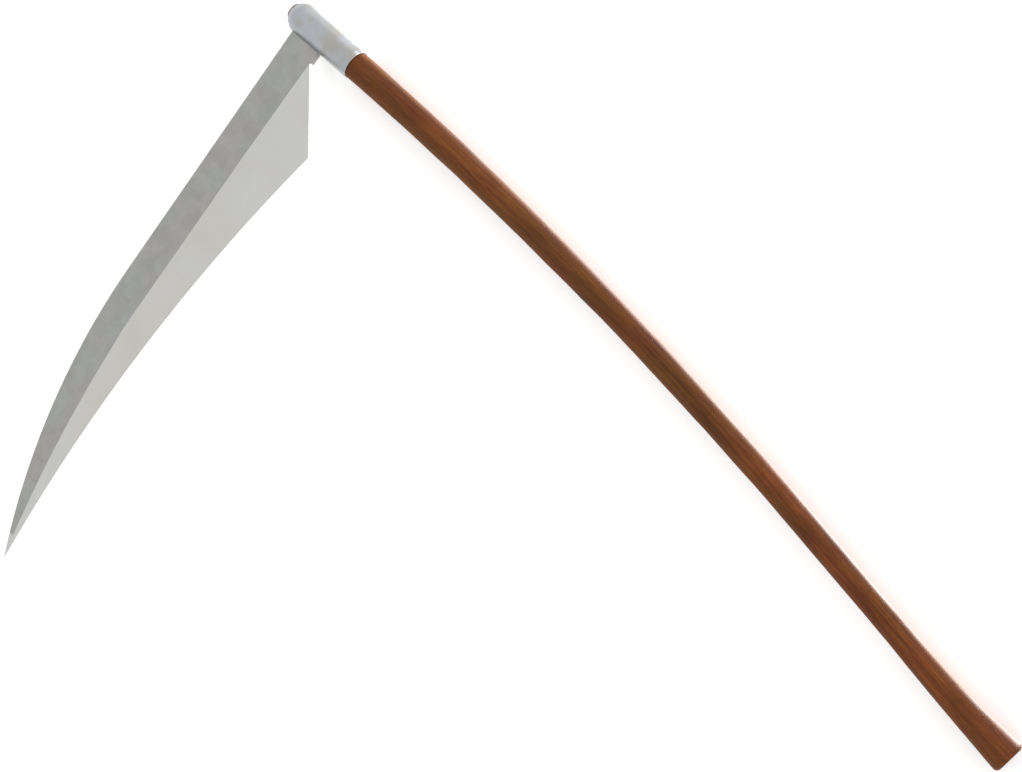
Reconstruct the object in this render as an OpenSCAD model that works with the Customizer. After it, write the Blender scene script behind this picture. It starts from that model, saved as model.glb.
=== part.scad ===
// Scythe: a bowed wooden haft, a round steel sleeve on its top end and a wedge-shaped blade.
// It lies flat, as it would on a bench: the sleeve's axis runs along X, the haft towards +X,
// and the blade to -Y. The origin is under the middle of the part, at the surface it lies on.

/* [Sleeve] */
// Length of the sleeve's taper, from where the nose starts to the lower rim
sleeve_len = 108; // [80:1:140]
// Outside diameter of the sleeve where the nose starts
sleeve_d_nose = 43.2; // [40:0.2:52]
// Outside diameter of the sleeve at its lower rim
sleeve_d_rim = 41.6; // [38:0.2:50]
// Wall of the sleeve
sleeve_wall = 3; // [2.5:0.25:4]
// How far the drawn-in nose reaches past the taper
nose_len = 12.8; // [8:0.2:20]
// Outside diameter of the nose's open mouth
mouth_d = 28.6; // [24:0.2:32]
// Thickness of the steel at the mouth's lip
lip_t = 1.4; // [0.8:0.1:2]

/* [Haft] */
// Diameter of the haft just below the sleeve
haft_d_top = 39.4; // [38:0.2:44]
// Diameter of the haft's waist, above the flare
haft_d_waist = 31.4; // [26:0.2:36]
// Diameter of the flared butt
butt_d = 43.6; // [38:0.2:52]
// Rounding of the butt's edge
butt_round = 6; // [2:0.5:10]
// Straight stretch below the sleeve, before the haft bows
haft_straight = 12; // [10:1:120]
// Length of the long bow towards the blade
bow_len = 868; // [600:2:1100]
// Radius of the long bow
bow_r = 6100; // [4500:50:12000]
// Straight stretch after the bow
calf_len = 188; // [40:2:250]
// Length of the back-bend that turns the butt out again
butt_bend_len = 146; // [100:2:260]
// Radius of the back-bend
butt_bend_r = 1900; // [1500:50:8000]
// Length of the butt's flare
flare_len = 208; // [90:2:260]
// How far the haft's end stands out of the sleeve's mouth
haft_proud = 3.7; // [1:0.1:6]

/* [Blade] */
// Distance from the sleeve's axis to the blade's point, square to the sleeve
blade_reach = 851; // [650:1:950]
// Distance from the start of the nose to the spine's line, along the sleeve
spine_x = 2.3; // [1:0.1:8]
// Lean of the spine's straight part away from square, in degrees
spine_lean = 2.5; // [0.5:0.1:4]
// How far down the spine runs straight before it curves
spine_straight = 420; // [250:5:480]
// Radius of the spine's curve
spine_curve_r = 1005; // [800:5:2000]
// Width of the flat band at the neck
band_w = 50; // [44:0.2:58]
// Lean of the line between band and bevel, in degrees
bevel_lean = 1.8; // [0.5:0.1:3.5]
// How far down that line runs straight before it curves
bevel_straight = 370; // [250:5:480]
// Distance from the sleeve's axis down to the end of the neck
neck_end = 38.6; // [34:0.2:60]
// How far the heel's corner stands out past the neck
heel_out = 81; // [50:1:100]
// How far the heel's corner lies below the neck
heel_drop = 98; // [60:1:130]
// Depth of the cutting edge's hollow curve between heel and point
edge_bow = 24.6; // [8:0.2:40]
// Thickness of the neck and of the band at the heel
blade_t = 12; // [9:0.25:14]
// Thickness of the band near the point
point_t = 3.4; // [2:0.1:6]
// Thickness left at the cutting edge
edge_t = 0.6; // [0.4:0.1:1.2]
// Small bevel that breaks the spine's corners
spine_break = 0.8; // [0.3:0.1:1.5]

/* [Tang and its pins] */
// Width of the tang, along the sleeve
tang_w = 32; // [28:0.5:36]
// Thickness of the tang
tang_t = 8; // [6:0.25:8.5]
// How far the tang reaches past the sleeve's axis
tang_past_axis = 9; // [7:0.5:11]
// Diameter of each tang pin
pin_d = 6; // [4:0.25:7]
// Distance between the two tang pins
pin_pitch = 16; // [13:0.5:18]
// Diameter of a tang pin's head
pin_head_d = 10; // [9:0.25:11.5]
// Height of a tang pin's head
pin_head_h = 1.5; // [1:0.1:1.6]
// How far the tang pins reach past the tang into the far side of the haft
pin_past_tang = 8; // [4:0.5:10]

/* [Sleeve nail] */
// Distance of the nail from the sleeve's lower rim
nail_from_rim = 16; // [10:0.5:30]
// Diameter of the nail
nail_d = 4; // [3:0.25:5]
// Diameter of the nail's head
nail_head_d = 8.4; // [7:0.2:10]
// Height of the nail's head
nail_head_h = 1.4; // [1:0.1:1.6]
// Length of the nail below its head
nail_len = 27; // [18:1:32]

/* [Wedges] */
// Length of the wooden wedge, from the haft's end
wedge_len = 24; // [18:0.5:26]
// Thickness of the wooden wedge at the haft's end
wedge_t = 4.6; // [3:0.2:6]
// Thickness of the wooden wedge at its thin end
wedge_tip_t = 1; // [0.6:0.1:2]
// Length of the steel cross wedge
cross_len = 14; // [8:0.5:16]
// Width of the steel cross wedge
cross_w = 13; // [9:0.5:16]
// Thickness of the steel cross wedge at the haft's end
cross_t = 2.4; // [1.6:0.1:3.4]
// Thickness of the steel cross wedge at its thin end
cross_tip_t = 0.8; // [0.5:0.1:1.4]

/* [Fits] */
// Gap round wood that fills steel, and round the tang in its slot and mortise
fit_gap = 0.2; // [0.1:0.05:0.3]
// Gap round a pin or nail in its hole
pin_gap = 0.08; // [0.05:0.01:0.15]
// Gap between the haft's shoulder and the sleeve's rim, and round the neck's hollow end
seat_gap = 0.25; // [0.1:0.05:0.3]
// Gap on each side of a wedge
wedge_gap = 0.1; // [0.05:0.01:0.15]

/* [Hidden] */
$fn = 96;

wood = "#7a4b28";
wedge_wood = "#c79a5e";
forged = "#a2a29d";
ground = "#b4b7ba";
pin_steel = "#8d8f91";

// Cutters stand this far past what they cut, and joined solids lap by this much
over = 1;
lap = 6;

// The sleeve's outside radius at a distance from the start of the nose
function sleeve_r(x) = (sleeve_d_nose + (sleeve_d_rim - sleeve_d_nose) * x / sleeve_len) / 2;

// The nose draws in from the taper's end to the mouth. A power of 1 would make it a plain cone
// and 2 a round end
nose_power = 1.4;
nose_steps = 8;
function nose_curve(r_start, r_mouth) =
    [for (i = [0 : nose_steps]) let (share = i / nose_steps)
        [-nose_len * share, r_start - (r_start - r_mouth) * pow(share, nose_power)]];

mouth_r = mouth_d / 2;
nose_bore_r = mouth_r - lip_t;
bore_nose_r = sleeve_d_nose / 2 - sleeve_wall;
bore_rim_r = sleeve_d_rim / 2 - sleeve_wall;
haft_end_x = -nose_len - haft_proud;

// The haft's centreline is a chain of straight stretches and arcs: [length, radius],
// where radius 0 is straight, a positive one turns to +Y and a negative one to the blade
centreline = [[haft_straight, 0], [bow_len, -bow_r], [calf_len, 0], [butt_bend_len, butt_bend_r]];
haft_len = haft_straight + bow_len + calf_len + butt_bend_len;
haft_start = [sleeve_len + seat_gap, 0, 0];

// A pose is [x, y, heading]; a step moves it along a stretch
function step(pose, len, r) =
    r == 0
    ? [pose.x + len * cos(pose.z), pose.y + len * sin(pose.z), pose.z]
    : let (turned = pose.z + len / r * 180 / PI)
      [pose.x + r * (sin(turned) - sin(pose.z)), pose.y - r * (cos(turned) - cos(pose.z)), turned];
function walk(s, pose = haft_start, i = 0) =
    i == len(centreline) - 1 || s <= centreline[i][0]
    ? step(pose, s, centreline[i][1])
    : walk(s - centreline[i][0], step(pose, centreline[i][0], centreline[i][1]), i + 1);

// The haft tapers quickly at first, then slowly to its waist, and flares to the butt
taper_power = 1.3;
flare_power = 2;
waist_s = haft_len - flare_len;
function body_r(s) =
    s < waist_s
    ? (haft_d_waist + (haft_d_top - haft_d_waist) * pow(1 - s / waist_s, taper_power)) / 2
    : (haft_d_waist + (butt_d - haft_d_waist) * pow((s - waist_s) / flare_len, flare_power)) / 2;

// Stations along the haft, as [distance, radius]: the body, the flare and the rounded edge
haft_sides = 32;
body_steps = 24;
flare_steps = 10;
round_steps = 5;
round_s = haft_len - butt_round;
butt_flat_r = body_r(round_s) - butt_round;
stations = concat(
    [for (i = [0 : body_steps - 1]) let (s = waist_s * i / body_steps) [s, body_r(s)]],
    [for (i = [0 : flare_steps - 1]) let (s = waist_s + (round_s - waist_s) * i / flare_steps)
        [s, body_r(s)]],
    [for (i = [0 : round_steps]) let (a = 90 * i / round_steps)
        [round_s + butt_round * sin(a), butt_flat_r + butt_round * cos(a)]]);
function ring(s, r) =
    let (p = walk(s))
    [for (k = [0 : haft_sides - 1]) let (a = 360 * k / haft_sides)
        [p.x - r * cos(a) * sin(p.z), p.y + r * cos(a) * cos(p.z), r * sin(a)]];
haft_points = [for (st = stations) each ring(st[0], st[1])];
butt_pose = walk(haft_len);

// An edge line of the blade: straight, leaning out, then an arc that bends towards +X.
// Each is given as [start x, lean, straight depth, radius]; y counts down from the axis
function line_x(e, y) =
    let (y1 = -e[2], x1 = e[0] + e[2] * tan(e[1]), cx = x1 + e[3] * cos(e[1]), cy = y1 + e[3] * sin(e[1]))
    y > y1 ? e[0] - y * tan(e[1]) : cx - sqrt(e[3] * e[3] - (y - cy) * (y - cy));
// The radius of the arc that leaves the straight part smoothly and ends at the point
function radius_to(e, end) =
    let (dx = end.x - e[0] - e[2] * tan(e[1]), dy = end.y + e[2])
    (dx * dx + dy * dy) / (2 * (dx * cos(e[1]) + dy * sin(e[1])));

spine = [spine_x, spine_lean, spine_straight, spine_curve_r];
tip = [line_x(spine, -blade_reach), -blade_reach];
neck_x = line_x(spine, -neck_end) + band_w;
bevel_start = [neck_x - neck_end * tan(bevel_lean), bevel_lean, bevel_straight];
bevel = concat(bevel_start, [radius_to(bevel_start, tip)]);
heel = [neck_x + heel_out, -neck_end - heel_drop];

// The cutting edge is one arc from the heel's corner to the point, hollow towards the haft
edge_chord = norm(tip - heel);
edge_r = (edge_chord * edge_chord / 4 + edge_bow * edge_bow) / (2 * edge_bow);
edge_normal = [heel.y - tip.y, tip.x - heel.x] / edge_chord;
edge_centre = (heel + tip) / 2 + edge_normal * (edge_r - edge_bow);
function edge_x(y) = edge_centre.x - sqrt(edge_r * edge_r - pow(y - edge_centre.y, 2));

// One section of the blade, as eight points from the spine's corner round to the edge. The
// sections stop at last_share of the way, and from there the faces run together in the point.
// The band is never thicker than point_slope times the blade's width
blade_steps = 36;
last_share = 0.985;
point_slope = 0.45;
function section(t) =
    let (y = -neck_end + t * (neck_end - blade_reach),
         ye = heel.y + t * (tip.y - heel.y),
         s = [line_x(spine, y), y], b = [line_x(bevel, y), y], c = [edge_x(ye), ye],
         h = min(blade_t + (point_t - blade_t) * t, point_slope * (c.x - s.x)) / 2,
         k = min(spine_break, h / 2, (b.x - s.x) / 3))
    [[s.x, s.y, -h + k], [s.x, s.y, h - k], [s.x + k, s.y, h], [b.x, b.y, h],
     [c.x, c.y, edge_t / 2], [c.x, c.y, -edge_t / 2], [b.x, b.y, -h], [s.x + k, s.y, -h]];

// The neck's top is buried in the sleeve's round, which is then cut out of it
neck_bury = 4;
neck_top = neck_bury - sleeve_r(spine_x);
neck_ring = let (h = blade_t / 2, k = spine_break, x = line_x(spine, neck_top), xb = line_x(bevel, neck_top))
    [[x, neck_top, -h + k], [x, neck_top, h - k], [x + k, neck_top, h], [xb, neck_top, h],
     [xb, neck_top, -h], [x + k, neck_top, -h]];
blade_points = concat(neck_ring,
    [for (i = [0 : blade_steps]) each section(last_share * i / blade_steps)], [[tip.x, tip.y, 0]]);

// The tang sits in the middle of the neck's width, and its root runs down inside the neck
tang_root = sleeve_r(0) + 4;
tang_x = line_x(spine, neck_top) + (band_w - tang_w) / 2;

// Each head sits on a flat, this deep in the sleeve's round and this much wider than the head
pin_flat = 1.4;
nail_flat = 1;
flat_room = 0.3;
pin_xs = [tang_x + (tang_w - pin_pitch) / 2, tang_x + (tang_w + pin_pitch) / 2];
pin_reach = tang_t / 2 + pin_past_tang;
nail_x = sleeve_len - nail_from_rim;
nail_reach = nail_flat - sleeve_r(nail_x) + nail_len;
// The outline of a driven head, as shares of its diameter and of its height
head_outline = [[0, 0], [0.3, 0], [0.44, 0.3], [0.5, 0.75], [0.5, 1], [0, 1]];
// A blind hole is this much deeper than the pin in it
hole_past = 0.5;

// The lowest and highest corners of the whole part before it is set on its origin
rest_r = max(sleeve_d_nose / 2, haft_d_top / 2, body_r(round_s));
low = [haft_end_x, tip.y, -rest_r];
high = [max([for (p = haft_points) p.x]), max(sleeve_d_nose / 2, max([for (p = haft_points) p.y]))];
origin_shift = [-(low.x + high.x) / 2, -(low.y + high.y) / 2, -low.z];
echo(butt_face = [for (i = [0, 1]) butt_pose[i] + origin_shift[i]], height = origin_shift.z,
     heading = butt_pose.z, butt_flat_r = butt_flat_r, sleeve_origin = origin_shift);

module place() translate(origin_shift) children();

// A solid turned about the sleeve's axis, from points of [x, radius]
module turned(points) {
    rotate([0, 90, 0]) rotate_extrude() polygon([for (p = points) [p[1], p[0]]]);
}

// The sleeve's outside as a solid, grown where it cuts the neck's hollow end
module sleeve_outside(grow = 0) {
    turned(concat([[sleeve_len, 0], [sleeve_len, sleeve_d_rim / 2 + grow]],
        nose_curve(sleeve_d_nose / 2 + grow, mouth_r + grow), [[-nose_len, 0]]));
}

module sleeve_bore() {
    turned(concat([[sleeve_len + over, 0], [sleeve_len + over, bore_rim_r], [sleeve_len, bore_rim_r]],
        nose_curve(bore_nose_r, nose_bore_r), [[-nose_len - over, nose_bore_r], [-nose_len - over, 0]]));
}

// A rectangular block for the tang, its slot or its mortise, up to y = reach
module tang_block(reach, grow = 0) {
    translate([tang_x - grow, -tang_root, -tang_t / 2 - grow])
        cube([tang_w + 2 * grow, tang_root + reach, tang_t + 2 * grow]);
}

// A headed pin driven from the back, along +Z, with its head on a flat in the sleeve
module headed_pin(x, d, head_d, head_h, flat, reach) {
    seat = flat - sleeve_r(x);
    translate([x, 0, seat]) {
        cylinder(d = d, h = reach - seat);
        translate([0, 0, -head_h]) rotate_extrude()
            polygon([for (p = head_outline) [p[0] * head_d, p[1] * head_h]]);
    }
}

// The hole for such a pin, and the flat its head sits on
module pin_hole(x, d, reach) {
    translate([x, 0, -sleeve_d_nose]) cylinder(d = d + 2 * pin_gap, h = sleeve_d_nose + reach);
}
module head_flat(x, head_d, flat) {
    translate([x, 0, flat - sleeve_r(x) - sleeve_d_nose]) cylinder(d = head_d + 2 * flat_room, h = sleeve_d_nose);
}

// The part of the haft that fills the sleeve, with its end rounded over by use
module haft_core() {
    tenon_r = bore_rim_r - fit_gap;
    end_r = nose_bore_r - fit_gap;
    end_round = haft_proud * 0.75;
    turned(concat([[sleeve_len + lap, 0], [sleeve_len + lap, tenon_r], [sleeve_len, tenon_r]],
        nose_curve(bore_nose_r - fit_gap, end_r),
        [for (a = [0 : 18 : 90])
            [haft_end_x + end_round * (1 - sin(a)), end_r - end_round * (1 - cos(a))]],
        [[haft_end_x, 0]]));
}

// The bowed body of the haft: rings round the centreline, joined side by side
module haft_body() {
    n = haft_sides;
    last = len(stations) - 1;
    polyhedron(haft_points, concat(
        [[for (k = [0 : n - 1]) k]],
        [for (i = [0 : last - 1], k = [0 : n - 1]) let (j = (k + 1) % n)
            [i * n + k, (i + 1) * n + k, (i + 1) * n + j, i * n + j]],
        [[for (k = [n - 1 : -1 : 0]) last * n + k]]));
}

// A wedge driven in from the haft's end, or the slot it opens
module wedge_block(len, w, t, tip_t, grow = 0) {
    translate([haft_end_x, 0, -w / 2 - grow]) linear_extrude(w + 2 * grow)
        polygon([[-over, -t / 2 - grow], [len + grow, -tip_t / 2 - grow], [len + grow, tip_t / 2 + grow],
                 [-over, t / 2 + grow]]);
}
// The wooden wedge is as wide as the mouth lets through; the steel one crosses it
module long_block(grow = 0) wedge_block(wedge_len, 2 * (nose_bore_r - fit_gap), wedge_t, wedge_tip_t, grow);
module cross_block(grow = 0) rotate([90, 0, 0]) wedge_block(cross_len, cross_w, cross_t, cross_tip_t, grow);

module haft() {
    color(wood) place() difference() {
        union() {
            haft_core();
            haft_body();
        }
        tang_block(tang_past_axis + fit_gap, fit_gap);
        long_block(wedge_gap);
        cross_block(wedge_gap);
        for (x = pin_xs) pin_hole(x, pin_d, pin_reach + hole_past);
        pin_hole(nail_x, nail_d, nail_reach + hole_past);
    }
}

module sleeve() {
    color(ground) place() difference() {
        sleeve_outside();
        sleeve_bore();
        tang_block(0, fit_gap);
        for (x = pin_xs) {
            pin_hole(x, pin_d, 0);
            head_flat(x, pin_head_d, pin_flat);
        }
        pin_hole(nail_x, nail_d, 0);
        head_flat(nail_x, nail_head_d, nail_flat);
    }
}

// The blade's loft: the neck, the sections along the blade and the point
module blade_body() {
    neck_n = len(neck_ring);
    n = 8;
    last = blade_steps;
    point = len(blade_points) - 1;
    // The neck's six points meet the first section at all but its two cutting-edge points,
    // and those close the heel's flat face
    met = [0, 1, 2, 3, 6, 7];
    polyhedron(blade_points, concat(
        [[for (k = [neck_n - 1 : -1 : 0]) k]],
        [for (k = [0 : neck_n - 1]) let (j = (k + 1) % neck_n)
            [k, j, neck_n + met[j], neck_n + met[k]]],
        [[neck_n + 6, neck_n + 5, neck_n + 4, neck_n + 3]],
        [for (i = [0 : last - 1], k = [0 : n - 1]) let (j = (k + 1) % n, a = neck_n + i * n)
            [a + k, a + j, a + n + j, a + n + k]],
        [for (k = [0 : n - 1]) let (j = (k + 1) % n, a = neck_n + last * n) [a + k, a + j, point]]));
}

module blade() {
    color(forged) place() difference() {
        union() {
            difference() {
                blade_body();
                sleeve_outside(seat_gap);
            }
            tang_block(tang_past_axis);
        }
        for (x = pin_xs) pin_hole(x, pin_d, pin_reach);
    }
}

module haft_wedge() {
    color(wedge_wood) place() difference() {
        intersection() {
            long_block();
            haft_core();
        }
        cross_block(wedge_gap);
    }
}

module cross_wedge() {
    color(pin_steel) place() intersection() {
        cross_block();
        haft_core();
    }
}

module tang_pin(x) {
    color(pin_steel) place() headed_pin(x, pin_d, pin_head_d, pin_head_h, pin_flat, pin_reach);
}

module front_tang_pin() {
    tang_pin(pin_xs[0]);
}

module rear_tang_pin() {
    tang_pin(pin_xs[1]);
}

module sleeve_nail() {
    color(pin_steel) place() headed_pin(nail_x, nail_d, nail_head_d, nail_head_h, nail_flat, nail_reach);
}

haft();
sleeve();
blade();
haft_wedge();
cross_wedge();
front_tang_pin();
rear_tang_pin();
sleeve_nail();
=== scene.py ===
# %% [markdown]
# # A scythe with a bowed haft
# The scythe lies flat on a pale table. Its haft is one long bowed piece of oiled wood, a steel
# sleeve is driven over the haft's top end, and the blade's tang runs through the sleeve into the
# wood. The measured solids are loaded first and stay as they are. The pieces that show are then
# modelled over them with Blender's own tools, and each gets a finish of its own.

# %% Load the measured solids
import math

import bpy
from mathutils import Matrix, Vector


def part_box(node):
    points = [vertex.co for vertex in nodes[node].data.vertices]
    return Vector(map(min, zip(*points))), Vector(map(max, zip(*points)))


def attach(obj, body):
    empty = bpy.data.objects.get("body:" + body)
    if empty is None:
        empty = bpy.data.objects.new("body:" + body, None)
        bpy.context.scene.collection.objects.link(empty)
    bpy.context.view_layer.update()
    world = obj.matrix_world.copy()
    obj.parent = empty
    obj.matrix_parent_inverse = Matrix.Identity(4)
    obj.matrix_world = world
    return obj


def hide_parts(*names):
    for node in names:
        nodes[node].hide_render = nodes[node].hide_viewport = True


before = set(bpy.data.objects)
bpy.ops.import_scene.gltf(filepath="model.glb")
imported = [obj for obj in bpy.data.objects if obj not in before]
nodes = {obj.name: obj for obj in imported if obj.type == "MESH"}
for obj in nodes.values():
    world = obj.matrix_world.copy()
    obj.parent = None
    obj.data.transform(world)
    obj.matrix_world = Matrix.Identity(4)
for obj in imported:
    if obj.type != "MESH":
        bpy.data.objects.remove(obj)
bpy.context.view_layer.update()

# %% [markdown]
# ## Where things are
# Everything on the head is measured from one point: the place on the sleeve's axis where its
# taper ends and its nose begins. The haft follows a chain of straight stretches and arcs from the
# sleeve's lower rim, so a short function walks along that chain and says where its centre is and
# which way it points. The numbers are the same as in the solids, in metres.

# %% The head's start and the haft's centreline
NOSE_LEN = 0.0128
SLEEVE_LEN = 0.108
R_NOSE, R_RIM, WALL = 0.0216, 0.0208, 0.003
R_MOUTH, LIP = 0.0143, 0.0014
PROUD = 0.0037
FIT, SEAT = 0.0002, 0.00025

low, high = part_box("sleeve")
head = Vector((low.x + NOSE_LEN, (low.y + high.y) / 2, (low.z + high.z) / 2))
CHAIN = [(0.012, 0.0), (0.868, -6.1), (0.188, 0.0), (0.146, 1.9)]
HAFT_LEN = sum(length for length, _ in CHAIN)


def walk(s):
    """The haft's centre and heading at a distance s from its shoulder."""
    x, y, turn = head.x + SLEEVE_LEN + SEAT, head.y, 0.0
    for k, (length, radius) in enumerate(CHAIN, 1):
        d = s if k == len(CHAIN) else min(s, length)
        if radius == 0:
            x, y = x + d * math.cos(turn), y + d * math.sin(turn)
        else:
            after = turn + d / radius
            x += radius * (math.sin(after) - math.sin(turn))
            y -= radius * (math.cos(after) - math.cos(turn))
            turn = after
        s -= d
        if s <= 0:
            break
    return Vector((x, y, head.z)), turn


print("head at", tuple(round(v, 4) for v in head), "butt at", walk(HAFT_LEN))

# %% [markdown]
# ## Working with the modelling tools
# An operator acts on whatever is selected, and loading leaves everything selected. So each piece
# starts from an empty selection, and at the end its faces are turned outwards and its place is
# baked into its mesh, because a finished piece's own origin stays at the scene's origin.

# %% Small helpers for selecting and finishing


def only(piece):
    """Leaves object mode with just this piece selected and active."""
    if bpy.context.object and bpy.context.object.mode != "OBJECT":
        bpy.ops.object.mode_set(mode="OBJECT")
    bpy.ops.object.select_all(action="DESELECT")
    piece.select_set(True)
    bpy.context.view_layer.objects.active = piece


def start(name, add, **how):
    """Adds a primitive on its own, names it and leaves it in object mode."""
    if bpy.context.object and bpy.context.object.mode != "OBJECT":
        bpy.ops.object.mode_set(mode="OBJECT")
    bpy.ops.object.select_all(action="DESELECT")
    add(**how)
    piece = bpy.context.object
    piece.name = piece.data.name = name
    return piece


def settle(piece, smooth):
    """Bakes the place into the mesh, turns faces outwards and smooths angles under so many degrees."""
    only(piece)
    bpy.ops.object.transform_apply(location=True, rotation=True, scale=True)
    bpy.ops.object.mode_set(mode="EDIT")
    bpy.ops.mesh.select_all(action="SELECT")
    bpy.ops.mesh.normals_make_consistent(inside=False)
    bpy.ops.object.mode_set(mode="OBJECT")
    bpy.ops.object.shade_smooth_by_angle(angle=math.radians(smooth))


# %% [markdown]
# A modifier that is applied at once leaves plain geometry behind, as pressing Apply does. Cutting
# is one of them: the cutter is an object of its own, and it goes when its hole is made.

# %% Helpers for modifiers and cuts


def modify(piece, kind, **settings):
    """Adds a modifier with these settings and applies it."""
    only(piece)
    modifier = piece.modifiers.new(kind.lower(), kind)
    for key, value in settings.items():
        setattr(modifier, key, value)
    bpy.ops.object.modifier_apply(modifier=modifier.name)


def cut(piece, cutters):
    """Cuts each cutter's shape out of the piece and removes the cutter."""
    for cutter in cutters:
        modify(piece, "BOOLEAN", operation="DIFFERENCE", solver="EXACT", object=cutter)
        bpy.data.objects.remove(cutter)


# %% [markdown]
# ## Drawing a tube ring by ring
# The haft and the sleeve are both rings on a line. By hand one adds a circle facing along the
# line, then extrudes it, moves it, turns it and scales it, again and again. The function does
# just that. A filled circle gives a closed solid, and an open one gives a skin.

# %% Draw a tube from rings


def draw_tube(name, rings, sides, filled):
    """rings are (centre, heading, radius); the first one is the circle that is added."""
    centre, turn, radius = rings[0]
    tube = start(name, bpy.ops.mesh.primitive_circle_add, vertices=sides, radius=radius,
                 fill_type="NGON" if filled else "NOTHING", location=centre,
                 rotation=(0, math.pi / 2, 0))
    bpy.ops.object.transform_apply(location=True, rotation=True, scale=True)
    bpy.ops.object.mode_set(mode="EDIT")
    bpy.ops.mesh.select_all(action="SELECT")
    for here, heading, r in rings[1:]:
        bpy.ops.mesh.extrude_region_move(TRANSFORM_OT_translate={"value": tuple(here - centre)})
        if abs(heading - turn) > 1e-9:
            bpy.ops.transform.rotate(value=turn - heading, orient_axis="Z", orient_type="GLOBAL",
                                     center_override=tuple(here))
        if abs(r - radius) > 1e-9:
            k = r / radius
            bpy.ops.transform.resize(value=(k, k, k), center_override=tuple(here))
        centre, turn, radius = here, heading, r
    bpy.ops.object.mode_set(mode="OBJECT")
    return tube


# %% [markdown]
# ## The haft
# A scythe's haft is shaved by hand from one length of ash. Inside the sleeve it is a turned
# tenon, below the sleeve it swells to a shoulder that bears on the steel, and it then tapers to
# a waist and flares at the butt, which keeps the lower hand from slipping off. It is drawn here
# in one go, from the end that stands out of the sleeve's mouth to the rounded butt.

# %% List the haft's rings


NOSE_STEPS, NOSE_CURVE = 14, 1.4
TOP_D, WAIST_D, BUTT_D, FLARE, ROUND = 0.0394, 0.0314, 0.0436, 0.208, 0.006
TAPER_POWER, FLARE_POWER = 1.3, 2
WAIST_S = HAFT_LEN - FLARE


def nose(r_start, r_mouth):
    """The sleeve's nose: distance from its start, and radius, drawn in towards the mouth."""
    shares = [k / NOSE_STEPS for k in range(NOSE_STEPS + 1)]
    return [(-NOSE_LEN * share, r_start - (r_start - r_mouth) * share ** NOSE_CURVE)
            for share in shares]


def body_radius(s):
    """The haft's radius at a distance s from its shoulder: a taper to the waist, then a flare."""
    if s < WAIST_S:
        return (WAIST_D + (TOP_D - WAIST_D) * (1 - s / WAIST_S) ** TAPER_POWER) / 2
    return (WAIST_D + (BUTT_D - WAIST_D) * ((s - WAIST_S) / FLARE) ** FLARE_POWER) / 2


def on_axis(x, r):
    """A ring on the sleeve's straight axis."""
    return head + Vector((x, 0, 0)), 0.0, r


END_R = R_MOUTH - LIP - FIT
crown = PROUD * 0.75  # the rounding of the end that stands out of the mouth
rings = [on_axis(-NOSE_LEN - PROUD + crown * (1 - math.sin(a)), END_R - crown * (1 - math.cos(a)))
         for a in [math.radians(90 - 15 * k) for k in range(7)]]
rings += [on_axis(x, r) for x, r in reversed(nose(R_NOSE - WALL - FIT, END_R))]
tenon = R_RIM - WALL - FIT
rings += [on_axis(x, tenon + (R_NOSE - R_RIM) * (1 - x / SLEEVE_LEN)) for x in (0.03, 0.07)]
rings += [on_axis(SLEEVE_LEN + SEAT, tenon)]

# %% Add the shoulder, the body, the flare and the rounded butt
SHOULDER = 0.0008
place, turn = walk(0)
rings += [(place, turn, TOP_D / 2 - SHOULDER)]
stations = [SHOULDER * (1 - math.cos(math.radians(30 * k))) for k in (1, 2)] + [SHOULDER]
rings += [(*walk(s), TOP_D / 2 - SHOULDER + SHOULDER * math.sin(math.acos(1 - s / SHOULDER)))
          for s in stations]
round_s = HAFT_LEN - ROUND
BODY_RINGS = 96
rings += [(*walk(s), body_radius(s)) for s in
          [SHOULDER + (round_s - SHOULDER) * k / BODY_RINGS for k in range(1, BODY_RINGS + 1)]]
flat_r = body_radius(round_s) - ROUND
rings += [(*walk(round_s + ROUND * math.sin(a)), flat_r + ROUND * math.cos(a))
          for a in [math.radians(11.25 * k) for k in range(1, 9)]]
print("rings along the haft:", len(rings))

# %% Draw the haft
haft = draw_tube("haft_wood", rings, 72, filled=True)
print("butt face:", [round(v, 4) for v in haft.data.vertices[-1].co], "wanted near", walk(HAFT_LEN))

# %% [markdown]
# No shaved haft is as true as a turned one. A Displace modifier with a soft cloud texture moves
# the surface in and out by a few tenths of a millimetre. A vertex group keeps it off the tenon,
# which has to fit the sleeve.

# %% Shave the haft by hand
TRUE_LEN, FADE_LEN = 0.002, 0.03  # kept true beside the sleeve, and the stretch where shaving sets in
shaved = haft.vertex_groups.new(name="shaved")
for vertex in haft.data.vertices:
    from_rim = vertex.co.x - (head.x + SLEEVE_LEN + SEAT)
    if from_rim > TRUE_LEN:
        shaved.add([vertex.index], min(1.0, from_rim / FADE_LEN), "REPLACE")
shave_marks = bpy.data.textures.new("shave_marks", "CLOUDS")
shave_marks.noise_scale = 0.07
modify(haft, "DISPLACE", texture=shave_marks, texture_coords="LOCAL", strength=0.0016,
       mid_level=0.5, vertex_group="shaved")
haft.vertex_groups.clear()

# %% [markdown]
# The haft's end is split for a wedge, and it is cut through for the tang, the two tang pins and
# the sleeve's nail. Each cutter is a primitive at its place, a little larger than what goes in.

# %% Cutters for the slots and holes
TANG_X = (0.01206, 0.04406)
TANG_T, TANG_PAST = 0.008, 0.009
PIN_X = [0.02006, 0.03606]
NAIL_X = SLEEVE_LEN - 0.016
PIN_HOLE_R, PIN_FLAT_R, PIN_FLAT_DEPTH = 0.00308, 0.0053, 0.0014
NAIL_HOLE_R, NAIL_FLAT_R, NAIL_FLAT_DEPTH = 0.00208, 0.0045, 0.001
PIN_TOP, NAIL_TOP = 0.0125, 0.0077
OUTSIDE = -0.03  # a cutter starts here, well clear of the sleeve
PAST_END = 0.001


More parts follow.
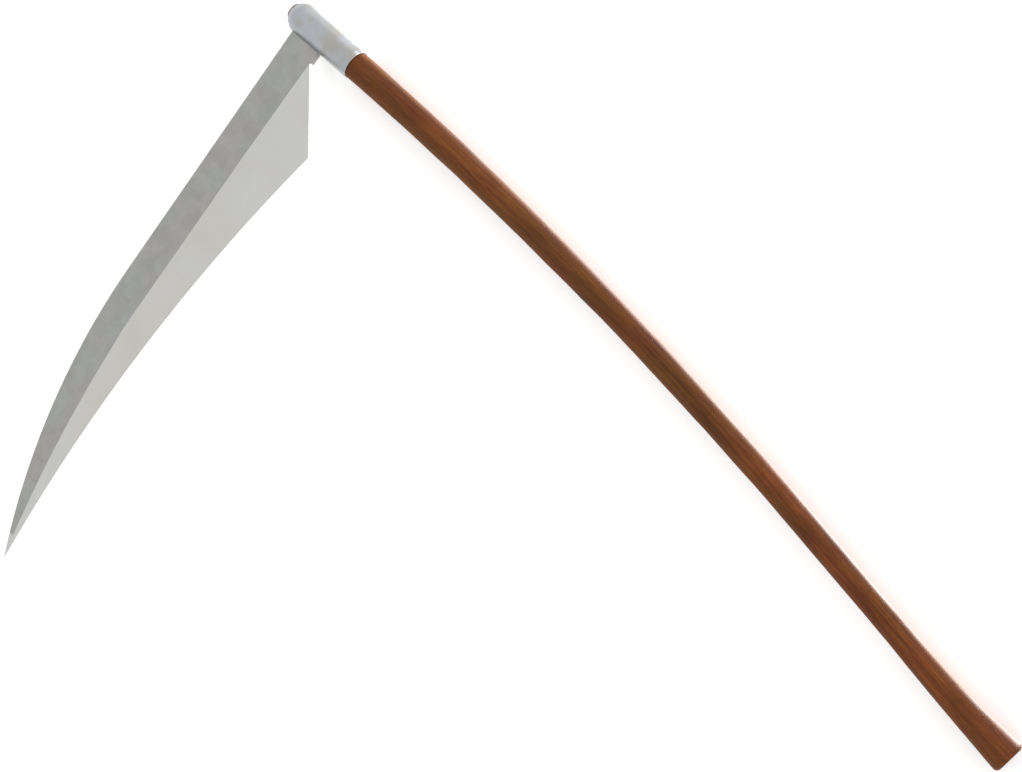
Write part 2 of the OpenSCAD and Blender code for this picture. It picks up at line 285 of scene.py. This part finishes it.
def block(name, low_corner, high_corner):
    """A cube primitive between two corners, measured from the head's start."""
    a, b = Vector(low_corner), Vector(high_corner)
    piece = start(name, bpy.ops.mesh.primitive_cube_add, size=1, location=head + (a + b) / 2)
    piece.scale = b - a
    bpy.ops.object.transform_apply(location=True, rotation=True, scale=True)
    return piece


def rod(name, x, radius, z_low, z_high):
    """A cylinder primitive along Z, measured from the head's start."""
    piece = start(name, bpy.ops.mesh.primitive_cylinder_add, vertices=48, radius=radius,
                  depth=z_high - z_low, location=head + Vector((x, 0, (z_low + z_high) / 2)))
    bpy.ops.object.transform_apply(location=True, rotation=True, scale=True)
    return piece


def wedge_slot(name, x_end, length, width, thick, tip_thick, upright):
    """A block whose far end is squeezed thinner: the slot that a wedge opens."""
    half_w, half_t = width / 2, thick / 2
    corner = (half_t, half_w) if upright else (half_w, half_t)
    piece = block(name, (x_end - PAST_END, -corner[0], -corner[1]), (x_end + length, *corner))
    bpy.ops.object.mode_set(mode="EDIT")
    bpy.ops.mesh.select_all(action="DESELECT")
    bpy.ops.object.mode_set(mode="OBJECT")
    for vertex in piece.data.vertices:
        vertex.select = vertex.co.x > head.x + x_end
    bpy.ops.object.mode_set(mode="EDIT")
    k = tip_thick / thick
    bpy.ops.transform.resize(value=(1, k, 1) if upright else (1, 1, k), center_override=tuple(head))
    bpy.ops.object.mode_set(mode="OBJECT")
    return piece


# %% Cut the haft
END_X = -NOSE_LEN - PROUD
cut(haft, [
    wedge_slot("split", END_X, length=0.0241, width=2 * END_R + 0.0002, thick=0.0048,
               tip_thick=0.0012, upright=True),
    wedge_slot("cross_split", END_X, length=0.0141, width=0.0132, thick=0.0026,
               tip_thick=0.001, upright=False),
    block("mortise", (TANG_X[0] - FIT, OUTSIDE, -TANG_T / 2 - FIT),
          (TANG_X[1] + FIT, TANG_PAST + FIT, TANG_T / 2 + FIT)),
    *[rod("pin_bore", x, PIN_HOLE_R, OUTSIDE, PIN_TOP) for x in PIN_X],
    rod("nail_bore", NAIL_X, NAIL_HOLE_R, OUTSIDE, NAIL_TOP)])
settle(haft, 40)
print("haft:", len(haft.data.polygons), "faces")

# %% [markdown]
# ## Straight wood on a bowed haft
# The grain runs along the haft and follows its bow, so the wood's pattern can't be read from
# plain X, Y and Z. Each vertex gets an attribute instead, named grain: how far along the haft it
# is, and where it lies across, as if the haft had been straightened.

# %% Store the grain direction on the haft


def straighten(point):
    """(along, across, up) of a point near the haft's centreline, found by walking closer to it."""
    x0 = head.x + SLEEVE_LEN + SEAT
    s = point.x - x0
    for _ in range(4):
        centre, turn = walk(max(s, 0.0))
        along = Vector((math.cos(turn), math.sin(turn), 0))
        s += (point - centre).dot(along)
        if s < 0:
            return s, point.y - head.y, point.z - head.z
    centre, turn = walk(s)
    across = Vector((-math.sin(turn), math.cos(turn), 0))
    return s, (point - centre).dot(across), point.z - centre.z


grain = haft.data.attributes.new("grain", "FLOAT_VECTOR", "POINT")
for vertex in haft.data.vertices:
    grain.data[vertex.index].vector = straighten(vertex.co)
print("grain stored on", len(haft.data.vertices), "vertices")

# %% Put the haft in its place in the frame
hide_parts("haft")
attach(haft, "root")

# %% [markdown]
# ## The sleeve
# The sleeve is a turned steel tube: a long gentle taper, a nose drawn in over the haft's end,
# and a lip round the mouth. It is drawn as one skin that goes out over the outside, round the
# lower rim and back up the bore to where it began. Both edges are rounded a little, because a
# true edge always is, and light shows it as a fine line.

# %% Draw the sleeve
EDGE = 0.0005
outside = [on_axis(x, r) for x, r in reversed(nose(R_NOSE, R_MOUTH))]
outside[0] = on_axis(-NOSE_LEN + EDGE * 0.7, R_MOUTH - 0.0001)
lip = [on_axis(-NOSE_LEN, R_MOUTH - LIP + EDGE), on_axis(-NOSE_LEN, R_MOUTH - EDGE),
       on_axis(-NOSE_LEN + EDGE * 0.3, R_MOUTH - EDGE * 0.4)]
taper = [on_axis(SLEEVE_LEN * k / 12, R_NOSE + (R_RIM - R_NOSE) * k / 12) for k in range(1, 12)]
rim = [on_axis(SLEEVE_LEN - EDGE, R_RIM), on_axis(SLEEVE_LEN - EDGE * 0.3, R_RIM - EDGE * 0.3),
       on_axis(SLEEVE_LEN, R_RIM - EDGE), on_axis(SLEEVE_LEN, R_RIM - WALL + EDGE / 2),
       on_axis(SLEEVE_LEN - EDGE / 2, R_RIM - WALL)]
bore = [on_axis(x, r) for x, r in nose(R_NOSE - WALL, R_MOUTH - LIP)]
bore[-1] = on_axis(-NOSE_LEN + EDGE * 0.6, R_MOUTH - LIP)
sleeve = draw_tube("sleeve_steel", lip + outside + taper + rim + bore + lip[:1], 128, filled=False)

# %% Close the sleeve's skin and cut its slot, pin holes and the flats for their heads
only(sleeve)
bpy.ops.object.mode_set(mode="EDIT")
bpy.ops.mesh.select_all(action="SELECT")
bpy.ops.mesh.remove_doubles(threshold=1e-6)
bpy.ops.mesh.normals_make_consistent(inside=False)
bpy.ops.object.mode_set(mode="OBJECT")


def outer_radius(x):
    """The sleeve's outer radius on its taper."""
    return R_NOSE + (R_RIM - R_NOSE) * x / SLEEVE_LEN


cut(sleeve, [
    block("tang_slot", (TANG_X[0] - FIT, OUTSIDE, -TANG_T / 2 - FIT),
          (TANG_X[1] + FIT, 0, TANG_T / 2 + FIT)),
    *[rod("pin_hole", x, PIN_HOLE_R, OUTSIDE, 0) for x in PIN_X],
    *[rod("pin_flat", x, PIN_FLAT_R, OUTSIDE, PIN_FLAT_DEPTH - outer_radius(x)) for x in PIN_X],
    rod("nail_hole", NAIL_X, NAIL_HOLE_R, OUTSIDE, 0),
    rod("nail_flat", NAIL_X, NAIL_FLAT_R, OUTSIDE, NAIL_FLAT_DEPTH - outer_radius(NAIL_X))])
settle(sleeve, 30)
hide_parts("sleeve")
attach(sleeve, "root")
print("sleeve:", len(sleeve.data.polygons), "faces")

# %% [markdown]
# ## The blade
# The blade's solid already has the right shape: a flat band along the spine, a bevel ground down
# to the cutting edge, and a heel cut off square. Its mesh is loose triangles, so a copy is merged
# and its flat faces are joined up. A fine bevel then breaks each ridge, and its narrow faces get a
# paler steel: a painted highlight, added to the light that the rounded ridge itself catches.

# %% Copy, merge and clean the blade's mesh
blade = bpy.data.objects.new("blade_steel", nodes["blade"].data.copy())
bpy.context.scene.collection.objects.link(blade)
only(blade)
bpy.ops.object.mode_set(mode="EDIT")
bpy.ops.mesh.select_all(action="SELECT")
bpy.ops.mesh.remove_doubles(threshold=2e-6)
bpy.ops.mesh.dissolve_limited(angle_limit=math.radians(0.4))
bpy.ops.object.mode_set(mode="OBJECT")
print("blade:", len(blade.data.vertices), "vertices,", len(blade.data.polygons), "faces")

# %% [markdown]
# The band is left as forged and the bevel is ground, so they need finishes of their own. A face
# that lies almost level belongs to the band, one that leans a little belongs to the bevel, and
# the rest are the blade's narrow sides. The ridges get their slot from the Bevel modifier.

# %% Sort the faces by how far they lean from level, in degrees
BAND, GROUND, RIDGE = 0, 1, 2
LEAST_LEAN, MOST_LEAN = 1.2, 30
for _ in range(len(blade.data.materials), 3):
    blade.data.materials.append(None)
for face in blade.data.polygons:
    lean = math.degrees(math.acos(min(1.0, abs(face.normal.z))))
    face.material_index = GROUND if LEAST_LEAN < lean < MOST_LEAN else BAND
print("ground faces:", sum(face.material_index == GROUND for face in blade.data.polygons))

# %% Break the blade's ridges
# The bevel's new faces take the ridge slot, whose paler steel is a painted highlight along each ridge.
modify(blade, "BEVEL", width=0.0006, segments=2, limit_method="ANGLE", angle_limit=math.radians(2.6),
       use_clamp_overlap=True, material=RIDGE)
settle(blade, 12)
for face in blade.data.polygons:
    face.use_smooth = abs(face.normal.z) < 0.5 or face.material_index == RIDGE
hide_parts("blade")
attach(blade, "root")
print("blade bevelled:", len(blade.data.vertices), "vertices")

# %% [markdown]
# ## Finishes
# Colours are easiest to judge as the screen shows them, but a shader reckons with light, in
# linear numbers. The first helper turns one into the other. The next two place a node and link or
# set its sockets, which is what dragging wires does by hand.

# %% Helpers for colours and nodes


def seen(r, g, b):
    """A colour as 0-255 screen values, in the linear numbers that a shader takes."""
    def one(c):
        c /= 255
        return c / 12.92 if c <= 0.04045 else ((c + 0.055) / 1.055) ** 2.4
    return (one(r), one(g), one(b), 1.0)


def grey(v):
    """A grey in linear numbers."""
    return (v, v, v, 1)


def feed(tree, socket, value):
    """Links a socket to another one, or sets it to a plain value."""
    if isinstance(value, bpy.types.NodeSocket):
        tree.links.new(value, socket)
    else:
        socket.default_value = value


def node(tree, kind, settings=None, **inputs):
    """Adds a node, with its settings and its inputs by name (or by number, as _0, _1)."""
    made = tree.nodes.new(kind)
    for key, value in (settings or {}).items():
        setattr(made, key, value)
    for key, value in inputs.items():
        socket = made.inputs[int(key[1:])] if key[0] == "_" else made.inputs[key.replace("_", " ")]
        feed(tree, socket, value)
    return made


# %% [markdown]
# Every finish is built from a few small steps: a sum, a noise, a ramp of colours, a mix. Each has
# a helper, so that the finishes below read as what they do to the surface. Noise on a place that
# is squeezed one way comes out drawn long the other way, and that is how fibres are made.

# %% Helpers for the steps of a finish


def maths(tree, operation, a, b):
    """A sum with two numbers."""
    return node(tree, "ShaderNodeMath", {"operation": operation}, _0=a, _1=b).outputs[0]


def vectors(tree, operation, a, b):
    """A sum with two vectors."""
    return node(tree, "ShaderNodeVectorMath", {"operation": operation}, _0=a, _1=b).outputs[0]


def about(tree, value, middle, depth):
    """How far a value lies from a middle, times a depth."""
    return maths(tree, "MULTIPLY", maths(tree, "SUBTRACT", value, middle), depth)


def ramp(tree, value, stops):
    """A colour ramp with stops of (place, colour)."""
    made = node(tree, "ShaderNodeValToRGB", None, Fac=value)
    while len(made.color_ramp.elements) < len(stops):
        made.color_ramp.elements.new(0.5)
    for element, (spot, colour) in zip(made.color_ramp.elements, stops):
        element.position = spot
        element.color = colour
    return made.outputs["Color"]


def mix(tree, factor, a, b, blend="MIX"):
    """Two colours mixed, or multiplied where blend says so."""
    made = node(tree, "ShaderNodeMix", {"data_type": "RGBA", "blend_type": blend})
    feed(tree, made.inputs[0], factor)
    feed(tree, made.inputs[6], a)
    feed(tree, made.inputs[7], b)
    return made.outputs[2]


def noise(tree, place, scale, detail, rough=0.5, distort=0.0):
    """A noise that runs from 0 to 1; scale is one number, or three for stretched noise."""
    if isinstance(scale, tuple):
        place = vectors(tree, "MULTIPLY", place, scale)
        scale = 1.0
    made = node(tree, "ShaderNodeTexNoise", {"normalize": True}, Vector=place, Scale=scale,
                Detail=detail, Roughness=rough, Distortion=distort)
    return made.outputs[0]


# %% [markdown]
# A group holds an effect that several finishes share, each with its own values. The shader itself
# stays in the material. A piece's slots are filled in order, so the blade's faces keep theirs.

# %% Helpers for groups and materials


def new_group(name, inputs, outputs):
    """A node group with sockets given as (name, kind, default)."""
    group = bpy.data.node_groups.new(name, "ShaderNodeTree")
    for label, kind, default in inputs:
        socket = group.interface.new_socket(name=label, in_out="INPUT",
                                            socket_type="NodeSocket" + kind)
        if default is not None:
            socket.default_value = default
    for label, kind in outputs:
        group.interface.new_socket(name=label, in_out="OUTPUT", socket_type="NodeSocket" + kind)
    given = group.nodes.new("NodeGroupInput").outputs
    return group, given, group.nodes.new("NodeGroupOutput").inputs


def new_finish(name):
    """A material with only a surface shader, ready to be fed."""
    finish = bpy.data.materials.new(name)
    finish.use_nodes = True
    tree = finish.node_tree
    return finish, tree, tree.nodes["Principled BSDF"]


def place_of(tree):
    """Where a point lies on the scythe, in metres."""
    return node(tree, "ShaderNodeTexCoord").outputs["Object"]


def grain_of(tree):
    """Where a point lies in the haft's straightened wood."""
    return node(tree, "ShaderNodeAttribute", {"attribute_name": "grain"}).outputs["Vector"]


def use(tree, group, **inputs):
    """Places a group in a material, with its inputs by name."""
    made = node(tree, "ShaderNodeGroup", {"node_tree": group})
    for key, value in inputs.items():
        feed(tree, made.inputs[key.replace("_", " ")], value)
    return made.outputs


def bump(tree, height, distance, strength):
    """A surface that looks raised by a height, over so many metres."""
    return node(tree, "ShaderNodeBump", None, Strength=strength, Distance=distance,
                Height=height).outputs[0]


def seen_directly(tree):
    """1 where the camera, a reflection or clear glass sees a thing, and 0 where it only lights."""
    rays = node(tree, "ShaderNodeLightPath").outputs
    return maths(tree, "MAXIMUM", rays["Is Camera Ray"],
                 maths(tree, "MAXIMUM", rays["Is Glossy Ray"], rays["Is Transmission Ray"]))


def dress(piece, *finishes):
    """Puts each finish in its material slot, and keeps which face has which slot."""
    slots = piece.data.materials
    for k, finish in enumerate(finishes):
        if k < len(slots):
            slots[k] = finish
        else:
            slots.append(finish)


# %% [markdown]
# ### Wood
# Wood is built from the grain outwards: growth rings round a pith that lies off to one side,
# fibres that run the whole length, short dark pores, and patches where oil and hands have
# changed its tone. The group gives a tone to colour by, and a height for the bump.

# %% The long grain, as a group
long_grain, given, out = new_group(
    "long_grain",
    [("Place", "Vector", None), ("Ring Width", "Float", 0.0024), ("Patch Depth", "Float", 1.0)],
    [("Tone", "Float"), ("Patch", "Float"), ("Pores", "Float"), ("Height", "Float")])
tree = long_grain
place = given["Place"]
PITH_SIDE, PITH_DOWN = 0.034, 0.058  # metres from the haft's middle to the trunk's
drift = node(tree, "ShaderNodeTexNoise", None, Scale=1.0, Detail=2.0,
             Vector=vectors(tree, "MULTIPLY", place, (4.0, 22.0, 22.0))).outputs["Color"]
shift = node(tree, "ShaderNodeVectorMath", {"operation": "SCALE"}, _0=drift, Scale=0.012).outputs[0]
bent = vectors(tree, "ADD", place, shift)
from_pith = vectors(tree, "ADD", bent, (0.0, -PITH_SIDE, PITH_DOWN))
flat = vectors(tree, "MULTIPLY", from_pith, (0.0, 1.0, 1.0))
radius = node(tree, "ShaderNodeVectorMath", {"operation": "LENGTH"}, _0=flat).outputs["Value"]
years = node(tree, "ShaderNodeMath", {"operation": "FRACT"},
             _0=maths(tree, "DIVIDE", radius, given["Ring Width"])).outputs[0]
late_wood = maths(tree, "POWER", years, 2.0)

# %% Fibres, patches and pores of the long grain
wander = noise(tree, place, (5.0, 30.0, 30.0), 2)
streaks = noise(tree, bent, (9.0, 260.0, 260.0), 3, 0.6)
fibres = noise(tree, bent, (40.0, 1400.0, 1400.0), 2, 0.6)
patches = noise(tree, place, (11.0, 38.0, 38.0), 3, 0.55)
cross = noise(tree, place, (260.0, 30.0, 30.0), 2)
pore_field = noise(tree, bent, (170.0, 2600.0, 2600.0), 1, 0.5)
pores = node(tree, "ShaderNodeMapRange", None, Value=pore_field, _1=0.66, _2=0.74).outputs[0]

# %% Add up the long grain's tone and height
tone = maths(tree, "ADD", about(tree, streaks, 0.5, 1.5), 0.5)
for layer in (about(tree, late_wood, 0.35, -0.2), about(tree, fibres, 0.5, 0.9),
              about(tree, cross, 0.5, 0.22),
              maths(tree, "MULTIPLY", about(tree, patches, 0.5, 1.4), given["Patch Depth"])):
    tone = maths(tree, "ADD", tone, layer)
relief = maths(tree, "SUBTRACT", maths(tree, "MULTIPLY", fibres, 0.6),
               maths(tree, "MULTIPLY", pores, 0.8))
height = maths(tree, "ADD", relief, maths(tree, "MULTIPLY", streaks, 0.5))
for label, value in (("Tone", tone), ("Patch", wander), ("Pores", pores), ("Height", height)):
    feed(tree, out[label], value)
print("long grain:", len(tree.nodes), "nodes")

# %% [markdown]
# The haft is dark with oil and age. Its tone runs over a ramp of four browns, and slow patches
# lean to red or to olive. It is rubbed smooth by hands, so its gloss changes with the grain.

# %% The haft's wood
old_wood, tree, skin = new_finish("old_oiled_wood")
grain = use(tree, long_grain, Place=grain_of(tree), Ring_Width=0.0026)
browns = ramp(tree, grain["Tone"], [(0.0, seen(80, 42, 18)), (0.35, seen(98, 54, 25)),
                                    (0.65, seen(110, 63, 30)), (1.0, seen(128, 76, 37))])
red = mix(tree, 1.0, browns, (1.06, 0.93, 0.98, 1), "MULTIPLY")
olive = mix(tree, 1.0, browns, (0.96, 1.05, 0.92, 1), "MULTIPLY")
lean = node(tree, "ShaderNodeMapRange", None, Value=grain["Patch"], _1=0.38, _2=0.62).outputs[0]
tinted = mix(tree, lean, red, olive)
pored = mix(tree, maths(tree, "MULTIPLY", grain["Pores"], 0.5), tinted, seen(58, 34, 20))
feed(tree, skin.inputs["Base Color"], pored)
dullness = node(tree, "ShaderNodeMapRange", None, Value=grain["Tone"], _3=0.5, _4=0.68).outputs[0]
feed(tree, skin.inputs["Roughness"], dullness)
feed(tree, skin.inputs["Normal"], bump(tree, grain["Height"], 0.00025, 0.6))
skin.inputs["IOR"].default_value = 1.45
skin.inputs["Specular IOR Level"].default_value = 0.18
dress(haft, old_wood)

# %% The wedge's paler wood
pale_wood, tree, skin = new_finish("pale_wedge_wood")
grain = use(tree, long_grain, Place=place_of(tree), Ring_Width=0.0014, Patch_Depth=0.4)
feed(tree, skin.inputs["Base Color"], ramp(tree, grain["Tone"], [
    (0.0, seen(120, 82, 46)), (0.5, seen(172, 128, 78)), (1.0, seen(206, 166, 112))]))
skin.inputs["Roughness"].default_value = 0.7
feed(tree, skin.inputs["Normal"], bump(tree, grain["Height"], 0.0002, 0.6))
dress(nodes["haft_wedge"], pale_wood)

# %% [markdown]
# ### Steel
# Forged and worn steel is never one grey. The shared group clouds it in two sizes, shifts its
# tint a little between cool and warm, and adds fine pits and scratches. Each steel piece uses it
# with its own colours, cloud size and direction of scratches.

# %% The clouded steel, as a group
clouded, given, out = new_group(
    "clouded_steel",
    [("Place", "Vector", None), ("Cool", "Color", grey(0.4)), ("Warm", "Color", grey(0.4)),
     ("Cloud Scale", "Float", 40.0), ("Cloud Depth", "Float", 0.2), ("Fleck Depth", "Float", 0.1),
     ("Scratches", "Vector", (30.0, 900.0, 900.0)), ("Scratch Depth", "Float", 0.1),
     ("Rough", "Float", 0.4)],
    [("Colour", "Color"), ("Roughness", "Float"), ("Height", "Float")])
tree = clouded
clouds = noise(tree, given["Place"], given["Cloud Scale"], 4, 0.55, 0.6)
tint = noise(tree, given["Place"], maths(tree, "MULTIPLY", given["Cloud Scale"], 0.6), 2)
flecks = noise(tree, given["Place"], maths(tree, "MULTIPLY", given["Cloud Scale"], 14.0), 3, 0.6)
lines = noise(tree, vectors(tree, "MULTIPLY", given["Place"], given["Scratches"]), 1.0, 2, 0.6)
lean = node(tree, "ShaderNodeMapRange", None, Value=tint, _1=0.4, _2=0.6).outputs[0]
hue = mix(tree, lean, given["Cool"], given["Warm"])

# %% Add up the clouded steel's colour, roughness and height
level = about(tree, clouds, 0.5, given["Cloud Depth"])
for pattern, depth in ((flecks, "Fleck Depth"), (lines, "Scratch Depth")):
    level = maths(tree, "ADD", level, about(tree, pattern, 0.5, given[depth]))
level = maths(tree, "ADD", level, 1.0)
shade = node(tree, "ShaderNodeCombineColor", None, Red=level, Green=level, Blue=level).outputs[0]
feed(tree, out["Colour"], mix(tree, 1.0, hue, shade, "MULTIPLY"))
feed(tree, out["Roughness"], maths(tree, "ADD", given["Rough"], about(tree, flecks, clouds, 0.3)))
feed(tree, out["Height"], maths(tree, "ADD", maths(tree, "MULTIPLY", flecks, 0.5),
                                maths(tree, "MULTIPLY", lines, 0.5)))
print("clouded steel:", len(tree.nodes), "nodes")

# %% The steels of the sleeve, the blade and the pins


PIT_DEPTH = 0.00003


def steel(name, **look):
    """A steel finish from the clouded group, with its own look."""
    finish, tree, skin = new_finish(name)
    made = use(tree, clouded, Place=place_of(tree), **look)
    feed(tree, skin.inputs["Base Color"], made["Colour"])
    feed(tree, skin.inputs["Roughness"], made["Roughness"])
    feed(tree, skin.inputs["Normal"], bump(tree, made["Height"], PIT_DEPTH, 0.5))
    skin.inputs["Metallic"].default_value = 1.0
    return finish


sleeve_finish = steel("worn_sleeve_steel", Cool=seen(174, 178, 183), Warm=seen(168, 167, 162),
                      Cloud_Scale=45.0, Cloud_Depth=0.22, Fleck_Depth=0.08,
                      Scratches=(700.0, 60.0, 60.0), Scratch_Depth=0.06, Rough=0.4)
band_finish = steel("forged_band_steel", Cool=seen(160, 162, 159), Warm=seen(162, 160, 157),
                    Cloud_Scale=42.0, Cloud_Depth=0.3, Fleck_Depth=0.1,
                    Scratches=(300.0, 40.0, 300.0), Scratch_Depth=0.05, Rough=0.46)
bevel_finish = steel("ground_bevel_steel", Cool=seen(197, 197, 194), Warm=seen(196, 194, 189),
                     Cloud_Scale=20.0, Cloud_Depth=0.06, Fleck_Depth=0.03,
                     Scratches=(900.0, 60.0, 900.0), Scratch_Depth=0.05, Rough=0.36)
# The ridge's paler, slightly bluish steel is a painted highlight: it draws the thin bright line along
# each ridge.
ridge_highlight_finish = steel("ridge_highlight_steel", Cool=seen(210, 222, 223), Warm=seen(206, 216, 216),
                     Cloud_Scale=60.0, Cloud_Depth=0.1, Fleck_Depth=0.05,
                     Scratches=(300.0, 60.0, 300.0), Scratch_Depth=0.04, Rough=0.3)
pin_finish = steel("pin_steel", Cool=seen(140, 141, 140), Warm=seen(136, 132, 126),
                   Cloud_Scale=160.0, Cloud_Depth=0.3, Fleck_Depth=0.2,
                   Scratches=(900.0, 900.0, 900.0), Scratch_Depth=0.1, Rough=0.45)

# %% Put the steels on their pieces
dress(sleeve, sleeve_finish)
dress(blade, band_finish, bevel_finish, ridge_highlight_finish)
print("blade's slots:", [finish.name for finish in blade.data.materials])
for name in ("cross_wedge", "front_tang_pin", "rear_tang_pin", "sleeve_nail"):
    dress(nodes[name], pin_finish)

# %% [markdown]
# ## The camera
# The camera looks down at the scythe from the haft's side of upright, through a long lens. Its
# place is worked out from the point that it looks at, its distance, its tilt and the way that
# the head is turned in the picture.

# %% Work out which way the camera looks
DISTANCE, TILT = 2.53916, math.radians(20.958)
LEAN_X, LEAN_Y = 0.8569, 0.5155  # the way along the table that the camera leans
ALONG_LEAN, ACROSS_LEAN = 0.9853, 0.1708  # how the picture is turned against that way
side = Vector((LEAN_X, LEAN_Y, 0))
cross_way = Vector((-LEAN_Y, LEAN_X, 0))
target = head + Vector((0.55957, -0.17769, 0))
back = math.sin(TILT) * side + Vector((0, 0, math.cos(TILT)))
level_way = math.cos(TILT) * side - Vector((0, 0, math.sin(TILT)))
right = ALONG_LEAN * level_way + ACROSS_LEAN * cross_way
up = back.cross(right)
print("looks at", [round(v, 3) for v in target])

# %% Place the camera
camera_data = bpy.data.cameras.new("camera")
camera_data.lens = 70
camera_data.sensor_width = 36
camera = bpy.data.objects.new("camera", camera_data)
bpy.context.scene.collection.objects.link(camera)
turned = Matrix((right, up, back)).transposed().to_4x4()
turned.translation = target + DISTANCE * back
camera.matrix_world = turned
bpy.context.scene.camera = camera
bpy.context.scene.view_settings.view_transform = "Standard"
print("camera at", [round(v, 3) for v in camera.location])

# %% [markdown]
# ## The table and the light
# The scythe lies on a pale light table. Soft white light comes from all round, a low lamp stands
# beyond the far side, and one lamp shines up through the glass from there, which draws the
# bright line along the upper edge of the haft and the sleeve. The table lets that lamp's light
# through, so it is clear to shadow rays only.

# %% The table top
table_top = start("table_top", bpy.ops.mesh.primitive_plane_add, size=30, location=(0, 0, 0))
pale, tree, skin = new_finish("pale_table")
tree.nodes.remove(skin)
diffuse = node(tree, "ShaderNodeBsdfDiffuse", None, Color=grey(0.9)).outputs[0]
glow = node(tree, "ShaderNodeEmission", None, Color=grey(1), Strength=0.35).outputs[0]
glowing = node(tree, "ShaderNodeAddShader", None, _0=diffuse, _1=glow).outputs[0]
plain = node(tree, "ShaderNodeMixShader", None, _0=seen_directly(tree), _1=diffuse,
             _2=glowing).outputs[0]
clear = node(tree, "ShaderNodeBsdfTransparent").outputs[0]
shadow_ray = node(tree, "ShaderNodeLightPath").outputs["Is Shadow Ray"]
surface = node(tree, "ShaderNodeMixShader", None, _0=shadow_ray, _1=plain, _2=clear).outputs[0]
feed(tree, tree.nodes["Material Output"].inputs["Surface"], surface)
dress(table_top, pale)
print("table top:", tuple(round(v, 1) for v in table_top.dimensions))

# %% The light from all round
world = bpy.data.worlds.new("studio")
bpy.context.scene.world = world
world.use_nodes = True
tree = world.node_tree
strength = node(tree, "ShaderNodeMapRange", None, Value=seen_directly(tree), _3=0.85,
                _4=1.0).outputs[0]
feed(tree, tree.nodes["Background"].inputs["Color"], grey(1))
feed(tree, tree.nodes["Background"].inputs["Strength"], strength)

# %% The two lamps


def aim(lamp, direction):
    """Turns a lamp, which shines along its own -Z, to shine along a direction."""
    lamp.rotation_euler = Vector(direction).to_track_quat("-Z", "Y").to_euler()


side_data = bpy.data.lights.new("side_lamp", "AREA")
side_data.shape, side_data.size, side_data.size_y = "RECTANGLE", 2.4, 0.5
side_data.energy = 22
side_lamp = bpy.data.objects.new("side_lamp", side_data)
side_lamp.location = (0.1, 2.4, 0.3)
aim(side_lamp, (0, -1, -0.08))
table_data = bpy.data.lights.new("table_lamp", "SUN")
table_data.energy, table_data.angle = 9.0, math.radians(24)
table_data.cycles.use_multiple_importance_sampling = False
table_lamp = bpy.data.objects.new("table_lamp", table_data)
aim(table_lamp, (0, -0.6, 0.8))
for lamp in (side_lamp, table_lamp):
    bpy.context.scene.collection.objects.link(lamp)
    print(lamp.name, "strength", lamp.data.energy)
